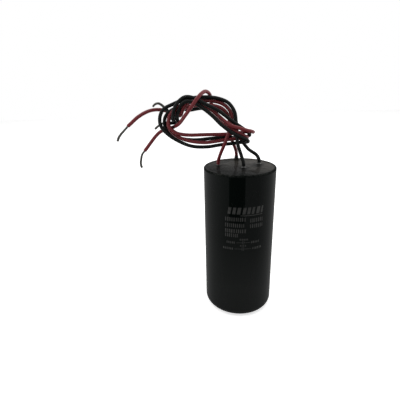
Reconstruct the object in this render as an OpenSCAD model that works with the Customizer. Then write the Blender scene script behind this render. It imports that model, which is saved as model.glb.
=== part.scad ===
// Motor run capacitor with two sections: a moulded plastic can filled with potting resin, two wound
// film elements one above the other inside it, and four flying leads looped into a loose bundle.
// Millimetres. +Z is up and the origin is the centre of the underside, on the surface it stands on.

/* [Can] */
// Outside diameter of the can
case_d = 50; // [48:0.5:54]
// Height of the can from its underside to its rim
case_h = 108; // [100:1:130]
// Thickness of the can's side wall
case_wall = 1.8; // [1.2:0.1:2.2]
// Thickness of the can's floor
case_floor = 2.2; // [1.6:0.1:3]
// Radius of the can's lower outside edge
base_edge_r = 5.5; // [3:0.5:6]
// Radius of the outside edge of the rim
rim_r = 0.9; // [0.4:0.1:1.1]
// Width of the flat foot ring under the can
foot_w = 3; // [2:0.5:5]
// Depth of the recess inside the foot ring
foot_recess = 0.5; // [0.2:0.1:0.8]
// Diameter of the moulding gate's mark in the recess
gate_d = 3; // [2:0.5:5]
// Height of the moulding gate's mark
gate_h = 0.2; // [0.1:0.05:0.2]

/* [Potting resin] */
// Depth of the resin's surface below the rim
resin_drop = 0.6; // [0.5:0.1:1.5]
// Size of the fillet that the resin makes where it wets the wall and the leads
meniscus = 0.5; // [0.2:0.05:0.5]
// Depth of resin over the upper winding
cover_depth = 11; // [10:0.5:16]
// Thickness of resin between the floor and the lower winding
floor_cushion = 2.6; // [2:0.1:4]

/* [Windings] */
// Gap between the can's wall and the lead that runs down beside the lower, main winding
wall_gap = 2; // [1.8:0.1:2.6]
// How much smaller the upper, auxiliary winding is in radius than the main one
aux_step = 4.8; // [4.4:0.1:5.4]
// Height of the rolled film in the upper, auxiliary winding
aux_roll_h = 26; // [15:1:30]
// Thickness of each sprayed metal end
spray_t = 0.6; // [0.3:0.1:1]
// Gap between the two windings
section_gap = 3; // [2:0.5:5]
// Thickness of the insulating disc between the windings
divider_t = 1; // [0.5:0.1:1.5]
// How far the disc's edge stays inside the windings' edge
divider_inset = 1; // [0.5:0.1:2]
// Outside diameter of the core tube that the film is rolled on
core_d = 5; // [4:0.5:5]
// Wall of the core tube
core_wall = 0.8; // [0.5:0.1:1.2]

/* [Leads] */
// Outside diameter of a lead's insulation
lead_d = 2.4; // [2:0.1:2.4]
// Diameter of the tinned conductor
conductor_d = 1.2; // [0.9:0.1:1.3]
// Gap between a winding and a lead that runs down beside it
lead_gap = 0.3; // [0.2:0.05:0.5]
// How much wider a solder joint is than its lead
joint_margin = 1; // [0.8:0.1:1.4]
// Height of a solder joint on the edge of a sprayed end
edge_joint_h = 3; // [2:0.1:4]
// Height of the solder joint on the face of a sprayed end
face_joint_h = 1.6; // [1:0.1:2.5]

/* [Hidden] */
$fn = 64;
cut = 0.5;

case_r = case_d / 2;
bore_r = case_r - case_wall;
bore_edge_r = base_edge_r - case_wall;
lip_r = (case_wall - rim_r) / 3;
recess_r = case_r - base_edge_r - foot_w;
resin_z = case_h - resin_drop;

// Leads that run down beside the windings, and the windings that leave room for them.
lead_r = lead_d / 2;
main_lead_r = bore_r - wall_gap - lead_r;
main_r = main_lead_r - lead_r - lead_gap;
aux_r = main_r - aux_step;
aux_lead_r = aux_r + lead_gap + lead_r;
joint_d = lead_d + joint_margin;

// Windings, from the floor up; the main roll takes the height that is left.
core_r = core_d / 2;
core_bore_r = core_r - core_wall;
main_z = case_floor + floor_cushion;
aux_top_z = resin_z - cover_depth;
aux_h = aux_roll_h + 2 * spray_t;
aux_z = aux_top_z - aux_h;
main_top_z = aux_z - section_gap;
main_h = main_top_z - main_z;
main_roll_h = main_h - 2 * spray_t;
divider_z = main_top_z + (section_gap - divider_t) / 2;

// Places on the rim's plane where the leads come out of the resin.
red_1_exit = aux_lead_r * [cos(163), sin(163)];
red_2_exit = [0, main_lead_r];
black_1_exit = [2, -4];
black_2_exit = aux_lead_r * [cos(20), sin(20)];

// Heights at which the leads end in their solder joints.
red_1_end = main_top_z + face_joint_h;
red_2_end = main_z + edge_joint_h;
black_1_end = aux_top_z + face_joint_h;
black_2_end = aux_z + edge_joint_h;

lead_sides = 8;
rings_per_span = 2;

// Routes of the free leads. Each starts straight up from its exit, joins the crossing above the can,
// goes round the right of the loop, along its top, down its left and back along its lower strands,
// folds at the right, climbs back to the top and wraps over it before its tail leaves to the left.
// Heights are measured from the rim.
red_1_route = concat(rise(red_1_exit, 3), [
    [-13, 3, 8.5], [-11, 1, 14], [-8.5, 0.5, 21], [-6, 1, 28.5], [-5.5, 2, 34],
    [-8.5, 3.5, 39], [-13, 3.5, 42], [-20, 3.5, 43.5], [-29, 3, 43.5], [-37, 2, 42],
    [-43.5, 1, 38.5], [-47, 1, 34], [-47.5, 1, 28.5], [-43.5, 1, 24], [-37, 2.5, 22],
    [-22, 4, 21.5], [-6.5, 4.5, 21.5], [3.5, 4.5, 22.5], [7, 3, 23], [8.5, -0.5, 23],
    [7, -4, 24], [3.5, -5.5, 25], [-1, -6, 26.5], [-7, -6, 28.5], [-12.5, -4, 32.5],
    [-19, -1.5, 38], [-26, -1, 42], [-32, -1.5, 43.5], [-36, -3, 41.5], [-38, -3, 38],
    [-39, -0.5, 35.5], [-40.5, 3.5, 34.5], [-42.5, 8, 34.5], [-46.5, 11.5, 36], [-53, 11.5, 38],
    [-60, 8, 38], [-67, 3, 35], [-74.5, 0, 29]]);
red_2_route = concat(rise(red_2_exit, 2.5), [
    [-0.5, 18.5, 6.5], [-2, 15, 10.5], [-4, 11.5, 15], [-6, 8.5, 20], [-6.5, 6.5, 25],
    [-7, 4.5, 30.5], [-9, 3, 35.5], [-13, 2, 39], [-21, 1.5, 41], [-30, 2, 41],
    [-38, 2.5, 39], [-44, 3.5, 36], [-47.5, 3.5, 32], [-48, 3.5, 27.5], [-45, 3.5, 23],
    [-38, 2, 19], [-25, 2, 16.5], [-11, 3.5, 17.5], [0, 3.5, 18.5], [3.5, 2, 19],
    [4.5, -0.5, 19.5], [3.5, -3.5, 20.5], [0, -5, 22.5], [-4, -5, 24.5], [-7.5, -3.5, 27],
    [-12, -1.5, 31], [-15.5, 1.5, 34.5], [-17.5, 5.5, 36.5], [-19, 7, 42.5], [-20, 4.5, 47.5],
    [-23, 0, 49.5], [-27, -5, 47], [-31.5, -7.5, 41.5], [-36.5, -5.5, 35], [-41, 0, 29.5],
    [-47, 7, 26], [-54.5, 8, 23.5], [-65.5, 4, 11.5]]);
black_1_route = concat(rise(black_1_exit, 3), [
    [0.5, -3, 8], [-2, -2.5, 16], [-2.5, -1.5, 23], [-3, -0.5, 30], [-4, 1, 36.5],
    [-8, 2.5, 42], [-15, 2.5, 45], [-25, 2, 46], [-35.5, 2, 45], [-44.5, 1.5, 42],
    [-50.5, 1, 39], [-53, 1, 34.5], [-53, 1, 29], [-49, 0.5, 23.5], [-42, 0.5, 18.5],
    [-33, 1, 14.5], [-22.5, 2, 13.5], [-12, 3.5, 14.5], [-4.5, 4, 15], [0, 4, 15.5],
    [3.5, 2, 16], [5, -2, 17], [3.5, -6, 19], [-0.5, -7.5, 21], [-4.5, -7.5, 23],
    [-8.5, -7, 25.5], [-13.5, -6.5, 29.5], [-18.5, -5, 34.5], [-24, -4, 39], [-30.5, -4, 43],
    [-35, -5, 44], [-38.5, -4.5, 42], [-40.5, -4, 38], [-41.5, -2.5, 34.5], [-41.5, 0.5, 32],
    [-42, 4, 30.5], [-46, 7, 29.5], [-51, 8.5, 29.5]]);
black_2_route = concat(rise(black_2_exit, 2.5), [
    [12.5, 6, 6], [7, 7, 10], [2.5, 9, 15.5], [-0.5, 9, 21], [-2.5, 7.5, 26.5],
    [-4.5, 6.5, 31.5], [-9, 6, 35], [-16.5, 3, 38], [-26, 3, 39], [-34, 4.5, 38],
    [-41, 5.5, 39.5], [-46.5, 5, 37.5], [-50, 4, 33.5], [-50.5, 4.5, 28], [-47.5, 5.5, 23],
    [-41, 5.5, 19.5], [-31, 5, 18], [-20.5, 5.5, 18.5], [-10, 6, 19], [-2.5, 6.5, 18.5],
    [2, 6.5, 18.5], [5.5, 4.5, 19.5], [6.5, 1, 21], [4.5, -2, 23.5], [0.5, -3.5, 26.5],
    [-6, -4, 31], [-14.5, -4, 37.5], [-24, -3.5, 42.5], [-31, -3, 46], [-36, -3, 46.5],
    [-40.5, -4, 43.5], [-43, -5, 39.5], [-44, -4, 35.5], [-44.5, 0, 32.5], [-43.5, 4.5, 33],
    [-45, 7, 34], [-50.5, 9.5, 39.5]]);

// Routes of the bare conductor beyond each lead's insulation.
red_1_bare = [[-74.5, 0, 29], [-77, -0.5, 26.5], [-79.5, -1, 24], [-81, -1.5, 22], [-82, -2, 19.5]];
red_2_bare = [[-65.5, 4, 11.5], [-67.5, 4, 9], [-68.5, 4, 5.5], [-69, 4, 2.5], [-68.5, 4, -0.5]];
black_1_bare = [[-51, 8.5, 29.5], [-53, 8.5, 29], [-55.5, 8.5, 27.5], [-58, 8.5, 25.5]];
black_2_bare = [[-50.5, 9.5, 39.5], [-52.5, 9, 41.5], [-54.5, 8, 42.5], [-56.5, 7, 42], [-58, 6, 40.5]];

// ---- Functions ----

function unit(v) = v / norm(v);

// First two points of a route: the exit on the rim's plane and the end of its straight rise.
function rise(exit, h) = [[exit[0], exit[1], 0], [exit[0], exit[1], h]];

function padded(p) = let (n = len(p)) concat([2 * p[0] - p[1]], p, [2 * p[n - 1] - p[n - 2]]);

// Tangent at b of the smooth curve through a, b and c, for the span of root length s that starts or
// ends at b. ra and rc are the root lengths of the spans a-b and b-c.
function knot_tangent(a, b, c, ra, rc, s) = s * ((b - a) / ra - (c - a) / (ra + rc) + (c - b) / rc);

function root_length(a, b) = sqrt(norm(b - a));

function hermite(a, ta, b, tb, u) =
    (2 * u^3 - 3 * u^2 + 1) * a + (u^3 - 2 * u^2 + u) * ta
    + (3 * u^2 - 2 * u^3) * b + (u^3 - u^2) * tb;

// Point at share u of the span from b to c, whose neighbours are a and d.
function span_point(a, b, c, d, u) =
    let (
        ra = root_length(a, b),
        rb = root_length(b, c),
        rc = root_length(c, d)
    )
    hermite(b, knot_tangent(a, b, c, ra, rb, rb), c, knot_tangent(b, c, d, rb, rc, rb), u);

// Smooth curve through every point of a route, with n steps to each span.
function smooth(route, n) =
    let (q = padded(route), last = len(q) - 2)
    concat(
        [for (i = [1:last - 1]) for (k = [0:n - 1]) span_point(q[i - 1], q[i], q[i + 1], q[i + 2], k / n)],
        [q[last]]);

function directions(c) =
    let (last = len(c) - 1)
    [for (i = [0:last]) unit(c[min(i + 1, last)] - c[max(i - 1, 0)])];

function square_to(v, t) = unit(v - (v * t) * t);

// One sideways vector for each ring, carried along the curve without twist.
function side_vectors(t) = [
    for (i = 0, s = square_to([1, 0.3, 0.1], t[0]); i < len(t);
         i = i + 1, s = i < len(t) ? square_to(s, t[i]) : s) s];

// ---- Shapes ----

// Round tube that follows a route, with flat ends square to it.
module swept_tube(route, d) {
    centres = smooth(route, rings_per_span);
    along = directions(centres);
    side = side_vectors(along);
    last = len(centres) - 1;
    points = [
        for (i = [0:last]) for (k = [0:lead_sides - 1])
            let (a = 360 * k / lead_sides)
            centres[i] + d / 2 * (cos(a) * side[i] + sin(a) * cross(along[i], side[i]))];
    skin = [
        for (i = [0:last - 1]) for (k = [0:lead_sides - 1])
            let (
                a = i * lead_sides + k,
                b = i * lead_sides + (k + 1) % lead_sides
            )
            each [[a, a + lead_sides, b], [b, a + lead_sides, b + lead_sides]]];
    near_cap = [[for (k = [0:lead_sides - 1]) k]];
    far_cap = [[for (k = [lead_sides - 1:-1:0]) last * lead_sides + k]];
    polyhedron(points, concat(near_cap, skin, far_cap), convexity = 12);
}

// What is left of a square of side r when a round of radius r is taken from its corner at [x, y].
module corner_waste(x, y, r, sx, sy) {
    difference() {
        translate([min(x, x + sx * r), min(y, y + sy * r)]) square(r);
        translate([x, y]) circle(r = r);
    }
}

module ring(r_out, r_in, h) {
    difference() {
        cylinder(r = r_out, h = h);
        translate([0, 0, -cut]) cylinder(r = r_in, h = h + 2 * cut);
    }
}

// Section of the space inside the can, up to the height h.
module bore_section(h) {
    difference() {
        translate([0, case_floor]) square([bore_r, h - case_floor]);
        corner_waste(bore_r - bore_edge_r, case_floor + bore_edge_r, bore_edge_r, 1, -1);
    }
}

module case_section() {
    difference() {
        square([case_r, case_h]);
        corner_waste(case_r - base_edge_r, base_edge_r, base_edge_r, 1, -1);
        corner_waste(case_r - rim_r, case_h - rim_r, rim_r, 1, 1);
        corner_waste(bore_r + lip_r, case_h - lip_r, lip_r, -1, 1);
        bore_section(case_h + cut);
        square([recess_r, foot_recess]);
    }
}

// Resin that climbs the inside of the can's wall.
module wall_meniscus() {
    rotate_extrude()
        union() {
            translate([bore_r - meniscus, -cut]) square([meniscus, cut]);
            corner_waste(bore_r - meniscus, meniscus, meniscus, 1, -1);
        }
}

// Resin that climbs a lead, before the lead's own space is taken from it.
module lead_meniscus() {
    rotate_extrude()
        union() {
            translate([0, -cut]) square([lead_r + meniscus, cut]);
            square([lead_r, meniscus]);
            corner_waste(lead_r + meniscus, meniscus, meniscus, -1, -1);
        }
}

// Everything of one winding as a plain round block, with its core left open.
module winding_block(r, z, h) {
    translate([0, 0, z]) ring(r, core_bore_r, h);
}

module film_roll(r, z, h) {
    translate([0, 0, z]) ring(r, core_r, h);
}

module core_tube(z, h) {
    translate([0, 0, z]) ring(core_r, core_bore_r, h);
}

module sprayed_end(r, z) {
    translate([0, 0, z]) ring(r, core_bore_r, spray_t);
}

module divider_disc() {
    translate([0, 0, divider_z]) ring(aux_r - divider_inset, core_bore_r, divider_t);
}

// Solder below an exit on the edge of a sprayed end, from the end's outer face at height z upwards,
// before the winding of radius r is taken from it.
module edge_joint_blank(exit, z) {
    translate([exit[0], exit[1], z]) cylinder(d = joint_d, h = edge_joint_h);
}

module edge_joint(exit, r, z) {
    difference() {
        edge_joint_blank(exit, z);
        translate([0, 0, z - cut]) cylinder(r = r, h = edge_joint_h + 2 * cut);
    }
}

// Solder below an exit on top of a sprayed end at height z, narrowing up to the lead's end. The root
// is how far it is continued down into the winding.
module face_joint(exit, z, root = 0) {
    translate([exit[0], exit[1], z]) {
        cylinder(d1 = joint_d, d2 = lead_d, h = face_joint_h);
        if (root > 0) translate([0, 0, -root]) cylinder(d = joint_d, h = root);
    }
}

// Lead inside the resin, straight down from its exit to the height end_z. The tail is how far it is
// continued down into its solder joint and up out of the can.
module potted_run(exit, end_z, tail = 0) {
    translate([exit[0], exit[1], end_z - tail]) cylinder(d = lead_d, h = case_h - end_z + 2 * tail);
}

// Everything that the resin surrounds, each piece continued into the next so that one space is left.
module buried_space() {
    winding_block(main_r, main_z, main_h);
    winding_block(aux_r, aux_z, aux_h);
    divider_disc();
    face_joint(red_1_exit, main_top_z, cut);
    edge_joint_blank(red_2_exit, main_z);
    face_joint(black_1_exit, aux_top_z, cut);
    edge_joint_blank(black_2_exit, aux_z);
    potted_run(red_1_exit, red_1_end, cut);
    potted_run(red_2_exit, red_2_end, cut);
    potted_run(black_1_exit, black_1_end, cut);
    potted_run(black_2_exit, black_2_end, cut);
}

// ---- Pieces ----

module case() {
    color([0.10, 0.10, 0.10]) {
        rotate_extrude() case_section();
        translate([0, 0, foot_recess - gate_h]) cylinder(d = gate_d, h = gate_h);
    }
}

module potting_resin() {
    color([0.30, 0.29, 0.27])
        difference() {
            union() {
                rotate_extrude() bore_section(resin_z);
                translate([0, 0, resin_z]) {
                    wall_meniscus();
                    for (exit = [red_1_exit, red_2_exit, black_1_exit, black_2_exit])
                        translate([exit[0], exit[1], 0]) lead_meniscus();
                }
            }
            buried_space();
        }
}

module main_winding() {
    color([0.82, 0.80, 0.72]) film_roll(main_r, main_z + spray_t, main_roll_h);
}

module main_core() {
    color([0.90, 0.90, 0.86]) core_tube(main_z + spray_t, main_roll_h);
}

module main_lower_spray() {
    color([0.62, 0.63, 0.65]) sprayed_end(main_r, main_z);
}

module main_upper_spray() {
    color([0.62, 0.63, 0.65]) sprayed_end(main_r, main_top_z - spray_t);
}

module section_divider() {
    color([0.75, 0.62, 0.38]) divider_disc();
}

module aux_winding() {
    color([0.82, 0.80, 0.72]) film_roll(aux_r, aux_z + spray_t, aux_roll_h);
}

module aux_core() {
    color([0.90, 0.90, 0.86]) core_tube(aux_z + spray_t, aux_roll_h);
}

module aux_lower_spray() {
    color([0.62, 0.63, 0.65]) sprayed_end(aux_r, aux_z);
}

module aux_upper_spray() {
    color([0.62, 0.63, 0.65]) sprayed_end(aux_r, aux_top_z - spray_t);
}

module solder_joint_red_1() {
    color([0.72, 0.73, 0.75]) face_joint(red_1_exit, main_top_z);
}

module solder_joint_red_2() {
    color([0.72, 0.73, 0.75]) edge_joint(red_2_exit, main_r, main_z);
}

module solder_joint_black_1() {
    color([0.72, 0.73, 0.75]) face_joint(black_1_exit, aux_top_z);
}

module solder_joint_black_2() {
    color([0.72, 0.73, 0.75]) edge_joint(black_2_exit, aux_r, aux_z);
}

module potted_red_1() {
    color([0.42, 0.15, 0.16]) potted_run(red_1_exit, red_1_end);
}

module potted_red_2() {
    color([0.42, 0.15, 0.16]) potted_run(red_2_exit, red_2_end);
}

module potted_black_1() {
    color([0.08, 0.09, 0.09]) potted_run(black_1_exit, black_1_end);
}

module potted_black_2() {
    color([0.08, 0.09, 0.09]) potted_run(black_2_exit, black_2_end);
}

module red_lead_1() {
    color([0.42, 0.15, 0.16]) translate([0, 0, case_h]) swept_tube(red_1_route, lead_d);
}

module red_lead_2() {
    color([0.42, 0.15, 0.16]) translate([0, 0, case_h]) swept_tube(red_2_route, lead_d);
}

module black_lead_1() {
    color([0.08, 0.09, 0.09]) translate([0, 0, case_h]) swept_tube(black_1_route, lead_d);
}

module black_lead_2() {
    color([0.08, 0.09, 0.09]) translate([0, 0, case_h]) swept_tube(black_2_route, lead_d);
}

module tinned_end_red_1() {
    color([0.35, 0.35, 0.33]) translate([0, 0, case_h]) swept_tube(red_1_bare, conductor_d);
}

module tinned_end_red_2() {
    color([0.35, 0.35, 0.33]) translate([0, 0, case_h]) swept_tube(red_2_bare, conductor_d);
}

module tinned_end_black_1() {
    color([0.35, 0.35, 0.33]) translate([0, 0, case_h]) swept_tube(black_1_bare, conductor_d);
}

module tinned_end_black_2() {
    color([0.35, 0.35, 0.33]) translate([0, 0, case_h]) swept_tube(black_2_bare, conductor_d);
}

case();
potting_resin();
main_winding();
main_core();
main_lower_spray();
main_upper_spray();
section_divider();
aux_winding();
aux_core();
aux_lower_spray();
aux_upper_spray();
solder_joint_red_1();
solder_joint_red_2();
solder_joint_black_1();
solder_joint_black_2();
potted_red_1();
potted_red_2();
potted_black_1();
potted_black_2();
red_lead_1();
red_lead_2();
black_lead_1();
black_lead_2();
tinned_end_red_1();
tinned_end_red_2();
tinned_end_black_1();
tinned_end_black_2();
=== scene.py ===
"""Looks of a motor run capacitor: a black moulded can, its potting resin and four looped leads."""

import logging
import math
import random
from dataclasses import dataclass, field, replace
from enum import Enum
from functools import lru_cache
from typing import Dict, List, Sequence, Tuple, Union

import bpy
from mathutils import Matrix, Vector, noise


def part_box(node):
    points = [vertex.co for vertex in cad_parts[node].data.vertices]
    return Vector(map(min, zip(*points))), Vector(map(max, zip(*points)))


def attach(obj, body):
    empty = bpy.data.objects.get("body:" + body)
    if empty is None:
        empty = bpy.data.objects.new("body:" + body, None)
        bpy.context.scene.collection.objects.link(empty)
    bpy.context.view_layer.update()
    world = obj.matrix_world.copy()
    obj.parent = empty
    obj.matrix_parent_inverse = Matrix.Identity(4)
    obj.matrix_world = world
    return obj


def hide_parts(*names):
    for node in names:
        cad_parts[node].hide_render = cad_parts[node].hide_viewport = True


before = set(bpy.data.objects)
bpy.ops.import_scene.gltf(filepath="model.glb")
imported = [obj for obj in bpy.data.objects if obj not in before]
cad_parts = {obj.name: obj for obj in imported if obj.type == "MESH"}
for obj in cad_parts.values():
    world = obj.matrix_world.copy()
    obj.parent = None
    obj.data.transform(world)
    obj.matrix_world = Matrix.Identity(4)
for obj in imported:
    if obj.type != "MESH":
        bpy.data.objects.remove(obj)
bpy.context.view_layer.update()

logging.basicConfig(level=logging.INFO, format="%(levelname)s %(message)s")
LOG = logging.getLogger("run_capacitor")

Point = Tuple[float, float, float]
Route = Tuple[Point, ...]
Colour = Tuple[float, float, float, float]
Span = Tuple[float, float]
# Cells to a metre, octaves and each octave's share of a noise.
Grain = Tuple[float, ...]
Face = Tuple[int, ...]
Node = bpy.types.Node
Socket = bpy.types.NodeSocket
Value = Union[Socket, float, Colour]
Material = bpy.types.Material
Piece = bpy.types.Object

ROOT = "root"
MM = 0.001
# Heights of the can's rim and of the resin inside it, in metres.
RIM = 0.108
RESIN_LEVEL = 0.1074
# The can's plastic, which also shows through thin ink.
CAN_BLACK: Colour = (0.0018, 0.0028, 0.0024, 1.0)

# Routes of the free leads beyond their straight rise, in metres.
RED_1_ROUTE: Route = (
    (-0.0130, 0.0030, 0.1165), (-0.0110, 0.0010, 0.1220), (-0.0085, 0.0005, 0.1290),
    (-0.0060, 0.0010, 0.1365), (-0.0055, 0.0020, 0.1420), (-0.0085, 0.0035, 0.1470),
    (-0.0130, 0.0035, 0.1500), (-0.0200, 0.0035, 0.1515), (-0.0290, 0.0030, 0.1515),
    (-0.0370, 0.0020, 0.1500), (-0.0435, 0.0010, 0.1465), (-0.0470, 0.0010, 0.1420),
    (-0.0475, 0.0010, 0.1365), (-0.0435, 0.0010, 0.1320), (-0.0370, 0.0025, 0.1300),
    (-0.0220, 0.0040, 0.1295), (-0.0065, 0.0045, 0.1295), (0.0035, 0.0045, 0.1305),
    (0.0070, 0.0030, 0.1310), (0.0085, -0.0005, 0.1310), (0.0070, -0.0040, 0.1320),
    (0.0035, -0.0055, 0.1330), (-0.0010, -0.0060, 0.1345), (-0.0070, -0.0060, 0.1365),
    (-0.0125, -0.0040, 0.1405), (-0.0190, -0.0015, 0.1460), (-0.0260, -0.0010, 0.1500),
    (-0.0320, -0.0015, 0.1515), (-0.0360, -0.0030, 0.1495), (-0.0380, -0.0030, 0.1460),
    (-0.0390, -0.0005, 0.1435), (-0.0405, 0.0035, 0.1425), (-0.0425, 0.0080, 0.1425),
    (-0.0465, 0.0115, 0.1440), (-0.0530, 0.0115, 0.1460), (-0.0600, 0.0080, 0.1460),
    (-0.0670, 0.0030, 0.1430), (-0.0745, 0.0000, 0.1370),
)
RED_2_ROUTE: Route = (
    (-0.0005, 0.0185, 0.1145), (-0.0020, 0.0150, 0.1185), (-0.0040, 0.0115, 0.1230),
    (-0.0060, 0.0085, 0.1280), (-0.0065, 0.0065, 0.1330), (-0.0070, 0.0045, 0.1385),
    (-0.0090, 0.0030, 0.1435), (-0.0130, 0.0020, 0.1470), (-0.0210, 0.0015, 0.1490),
    (-0.0300, 0.0020, 0.1490), (-0.0380, 0.0025, 0.1470), (-0.0440, 0.0035, 0.1440),
    (-0.0475, 0.0035, 0.1400), (-0.0480, 0.0035, 0.1355), (-0.0450, 0.0035, 0.1310),
    (-0.0380, 0.0020, 0.1270), (-0.0250, 0.0020, 0.1245), (-0.0110, 0.0035, 0.1255),
    (0.0000, 0.0035, 0.1265), (0.0035, 0.0020, 0.1270), (0.0045, -0.0005, 0.1275),
    (0.0035, -0.0035, 0.1285), (0.0000, -0.0050, 0.1305), (-0.0040, -0.0050, 0.1325),
    (-0.0075, -0.0035, 0.1350), (-0.0120, -0.0015, 0.1390), (-0.0155, 0.0015, 0.1425),
    (-0.0175, 0.0055, 0.1445), (-0.0190, 0.0070, 0.1505), (-0.0200, 0.0045, 0.1555),
    (-0.0230, 0.0000, 0.1575), (-0.0270, -0.0050, 0.1550), (-0.0315, -0.0075, 0.1495),
    (-0.0365, -0.0055, 0.1430), (-0.0410, 0.0000, 0.1375), (-0.0470, 0.0070, 0.1340),
    (-0.0545, 0.0080, 0.1315), (-0.0655, 0.0040, 0.1195),
)
BLACK_1_ROUTE: Route = (
    (0.0005, -0.0030, 0.1160), (-0.0020, -0.0025, 0.1240), (-0.0025, -0.0015, 0.1310),
    (-0.0030, -0.0005, 0.1380), (-0.0040, 0.0010, 0.1445), (-0.0080, 0.0025, 0.1500),
    (-0.0150, 0.0025, 0.1530), (-0.0250, 0.0020, 0.1540), (-0.0355, 0.0020, 0.1530),
    (-0.0445, 0.0015, 0.1500), (-0.0505, 0.0010, 0.1470), (-0.0530, 0.0010, 0.1425),
    (-0.0530, 0.0010, 0.1370), (-0.0490, 0.0005, 0.1315), (-0.0420, 0.0005, 0.1265),
    (-0.0330, 0.0010, 0.1225), (-0.0225, 0.0020, 0.1215), (-0.0120, 0.0035, 0.1225),
    (-0.0045, 0.0040, 0.1230), (0.0000, 0.0040, 0.1235), (0.0035, 0.0020, 0.1240),
    (0.0050, -0.0020, 0.1250), (0.0035, -0.0060, 0.1270), (-0.0005, -0.0075, 0.1290),
    (-0.0045, -0.0075, 0.1310), (-0.0085, -0.0070, 0.1335), (-0.0135, -0.0065, 0.1375),
    (-0.0185, -0.0050, 0.1425), (-0.0240, -0.0040, 0.1470), (-0.0305, -0.0040, 0.1510),
    (-0.0350, -0.0050, 0.1520), (-0.0385, -0.0045, 0.1500), (-0.0405, -0.0040, 0.1460),
    (-0.0415, -0.0025, 0.1425), (-0.0415, 0.0005, 0.1400), (-0.0420, 0.0040, 0.1385),
    (-0.0460, 0.0070, 0.1375), (-0.0510, 0.0085, 0.1375),
)
BLACK_2_ROUTE: Route = (
    (0.0125, 0.0060, 0.1140), (0.0070, 0.0070, 0.1180), (0.0025, 0.0090, 0.1235),
    (-0.0005, 0.0090, 0.1290), (-0.0025, 0.0075, 0.1345), (-0.0045, 0.0065, 0.1395),
    (-0.0090, 0.0060, 0.1430), (-0.0165, 0.0030, 0.1460), (-0.0260, 0.0030, 0.1470),
    (-0.0340, 0.0045, 0.1460), (-0.0410, 0.0055, 0.1475), (-0.0465, 0.0050, 0.1455),
    (-0.0500, 0.0040, 0.1415), (-0.0505, 0.0045, 0.1360), (-0.0475, 0.0055, 0.1310),
    (-0.0410, 0.0055, 0.1275), (-0.0310, 0.0050, 0.1260), (-0.0205, 0.0055, 0.1265),
    (-0.0100, 0.0060, 0.1270), (-0.0025, 0.0065, 0.1265), (0.0020, 0.0065, 0.1265),
    (0.0055, 0.0045, 0.1275), (0.0065, 0.0010, 0.1290), (0.0045, -0.0020, 0.1315),
    (0.0005, -0.0035, 0.1345), (-0.0060, -0.0040, 0.1390), (-0.0145, -0.0040, 0.1455),
    (-0.0240, -0.0035, 0.1505), (-0.0310, -0.0030, 0.1540), (-0.0360, -0.0030, 0.1545),
    (-0.0405, -0.0040, 0.1515), (-0.0430, -0.0050, 0.1475), (-0.0440, -0.0040, 0.1435),
    (-0.0445, 0.0000, 0.1405), (-0.0435, 0.0045, 0.1410), (-0.0450, 0.0070, 0.1420),
    (-0.0505, 0.0095, 0.1475),
)
RED_1_BARE: Route = (
    (-0.0745, 0.0000, 0.1370), (-0.0770, -0.0005, 0.1345), (-0.0795, -0.0010, 0.1320),
    (-0.0810, -0.0015, 0.1300), (-0.0820, -0.0020, 0.1275),
)
RED_2_BARE: Route = (
    (-0.0655, 0.0040, 0.1195), (-0.0675, 0.0040, 0.1170), (-0.0685, 0.0040, 0.1135),
    (-0.0690, 0.0040, 0.1105), (-0.0685, 0.0040, 0.1075),
)
BLACK_1_BARE: Route = (
    (-0.0510, 0.0085, 0.1375), (-0.0530, 0.0085, 0.1370), (-0.0555, 0.0085, 0.1355),
    (-0.0580, 0.0085, 0.1335),
)
BLACK_2_BARE: Route = (
    (-0.0505, 0.0095, 0.1475), (-0.0525, 0.0090, 0.1495), (-0.0545, 0.0080, 0.1505),
    (-0.0565, 0.0070, 0.1500), (-0.0580, 0.0060, 0.1485),
)


class LeadColour(Enum):
    """Colours of insulation that the leads come in."""

    RED = "red"
    BLACK = "black"


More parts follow.
